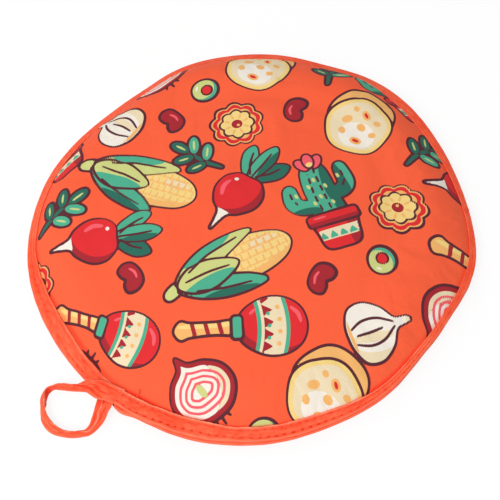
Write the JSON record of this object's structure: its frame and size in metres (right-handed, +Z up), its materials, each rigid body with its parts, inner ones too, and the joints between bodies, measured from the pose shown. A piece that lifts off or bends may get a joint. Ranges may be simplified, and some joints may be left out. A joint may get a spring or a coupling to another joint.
{
  "type": "tortilla warmer",
  "caption": "Round padded fabric pouch for keeping tortillas warm, with a lifting mouth flap, taped edge and a hanging loop.",
  "frame": {"origin": "middle of the round pouch, on the flat underside that it lies on", "axes": "+Z up through the top panel, -Y out through the middle of the mouth, hanging loop at the mouth's left end, in -X -Y"},
  "size_m": [0.3299, 0.305, 0.033],
  "materials": {
    "printed_cover": "plain woven polyester, printed",
    "binding_tape": "folded woven tape",
    "wadding": "needled cotton and polyester wadding",
    "reflective_film": "metallised film",
    "lining": "plain woven polyester",
    "sewing_thread": "spun polyester thread"
  },
  "bodies": {
    "pouch": {"top_cover_back": "printed_cover", "bottom_cover": "printed_cover", "top_wadding_back": "wadding", "bottom_wadding": "wadding", "top_foil_back": "reflective_film", "bottom_foil": "reflective_film", "top_lining_back": "lining", "bottom_lining": "lining", "closed_edge_binding": "binding_tape", "mouth_binding_bottom": "binding_tape", "loop_upper_end": "binding_tape", "loop_lower_end": "binding_tape", "closed_edge_outer_seam": "sewing_thread", "closed_edge_inner_seam": "sewing_thread", "mouth_bottom_outer_seam": "sewing_thread", "mouth_bottom_inner_seam": "sewing_thread", "left_mouth_tack": "sewing_thread", "right_mouth_tack": "sewing_thread"},
    "mouth_flap": {"top_cover_flap": "printed_cover", "top_wadding_flap": "wadding", "top_foil_flap": "reflective_film", "top_lining_flap": "lining", "mouth_binding_top": "binding_tape", "mouth_top_outer_seam": "sewing_thread", "mouth_top_inner_seam": "sewing_thread"},
    "loop": {"hanging_loop": "binding_tape", "loop_edge_seam": "sewing_thread"}
  },
  "joints": [
    {"name": "mouth_flap_fold", "type": "hinge", "parent": "pouch", "child": "mouth_flap", "pos_m": [0, -0.06923, 0.0297], "axis": [-1, 0, 0], "range_deg": [0, 60]},
    {"name": "loop_swing", "type": "hinge", "parent": "pouch", "child": "loop", "pos_m": [-0.14154, -0.05863, 0.00615], "axis": [-0.3827, 0.9239, 0], "range_deg": [-90, 90]}
  ]
}
